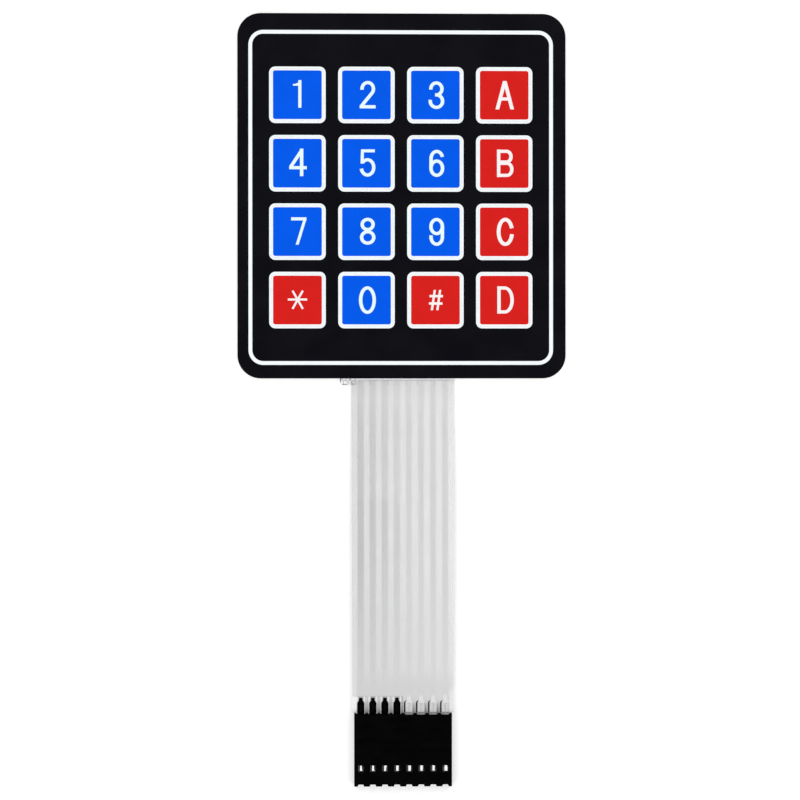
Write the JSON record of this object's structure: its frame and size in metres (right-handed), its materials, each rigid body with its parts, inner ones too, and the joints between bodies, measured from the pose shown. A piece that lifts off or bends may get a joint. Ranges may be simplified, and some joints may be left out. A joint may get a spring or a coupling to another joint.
{
  "type": "matrix keypad",
  "caption": "Flat adhesive-backed membrane keypad: embossed keys over a printed switch matrix, with a film ribbon tail that ends in a socket connector for header pins.",
  "frame": {"origin": "centre of the rectangular panel, on the rear face of its release liner", "axes": "+X to the right of the face, +Y to the top of the panel and away from the tail, +Z out of the printed face"},
  "size_m": [0.0692, 0.1627, 0.0025],
  "materials": {
    "liner": "coated release paper",
    "adhesive": "clear acrylic transfer adhesive",
    "film": "translucent milky polyester film",
    "silver_ink": "matt silver-filled print",
    "spacer_film": "adhesive-coated polyester spacer",
    "overlay_black": "black fine-textured polyester overlay",
    "print_white": "opaque white ink",
    "print_blue": "opaque blue ink",
    "print_red": "opaque red ink",
    "housing_black": "moulded black thermoplastic",
    "contact_dark": "dark-toned stamped contact",
    "contact_bright": "tin-plated stamped contact"
  },
  "bodies": {
    "root": {"release_liner": "liner", "rear_adhesive": "adhesive", "lower_circuit_film": "film", "row_1_trace": "silver_ink", "row_2_trace": "silver_ink", "row_3_trace": "silver_ink", "row_4_trace": "silver_ink", "spacer": "spacer_film", "upper_circuit_film": "film", "column_1_trace": "silver_ink", "column_2_trace": "silver_ink", "column_3_trace": "silver_ink", "column_4_trace": "silver_ink", "overlay_adhesive": "adhesive", "graphic_overlay": "overlay_black", "print_border": "print_white", "print_key_frames": "print_white", "print_blue_fields": "print_blue", "print_red_fields": "print_red", "connector_housing": "housing_black", "contact_1": "contact_dark", "contact_2": "contact_dark", "contact_3": "contact_dark", "contact_4": "contact_dark", "contact_5": "contact_bright", "contact_6": "contact_bright", "contact_7": "contact_bright", "contact_8": "contact_bright"}
  },
  "joints": []
}
